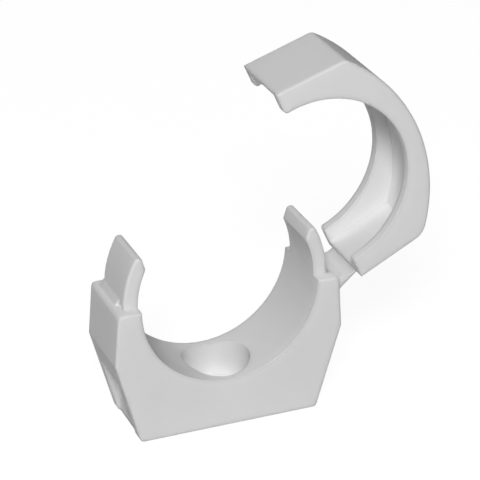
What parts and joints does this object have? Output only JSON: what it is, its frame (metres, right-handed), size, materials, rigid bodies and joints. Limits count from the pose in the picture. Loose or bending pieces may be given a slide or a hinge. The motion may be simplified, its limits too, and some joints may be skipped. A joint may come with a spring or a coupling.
{
  "type": "pipe clip",
  "caption": "White plastic push-in pipe clip: a saddle with gripping fingers and a screw hole, and a lid that hinges over the pipe on a moulded strap.",
  "frame": {"origin": "centre of the screw hole in the face that lies on the wall", "axes": "+Z out from the wall, +Y along the pipe, +X towards the lid's hinge"},
  "size_m": [0.0396, 0.0098, 0.0444],
  "materials": {
    "white_plastic": "satin"
  },
  "bodies": {
    "base": {"saddle_base": "white_plastic", "hinge_strap": "white_plastic"},
    "lid": {"hinged_lid": "white_plastic"}
  },
  "joints": [
    {"name": "lid_hinge", "type": "hinge", "parent": "base", "child": "lid", "pos_m": [0.01456, 0, 0.01468], "axis": [0, -1, 0], "range_deg": [-40, 65.3], "stiffness_Nm_per_rad": 0.003, "deforming": ["hinge_strap"]}
  ]
}
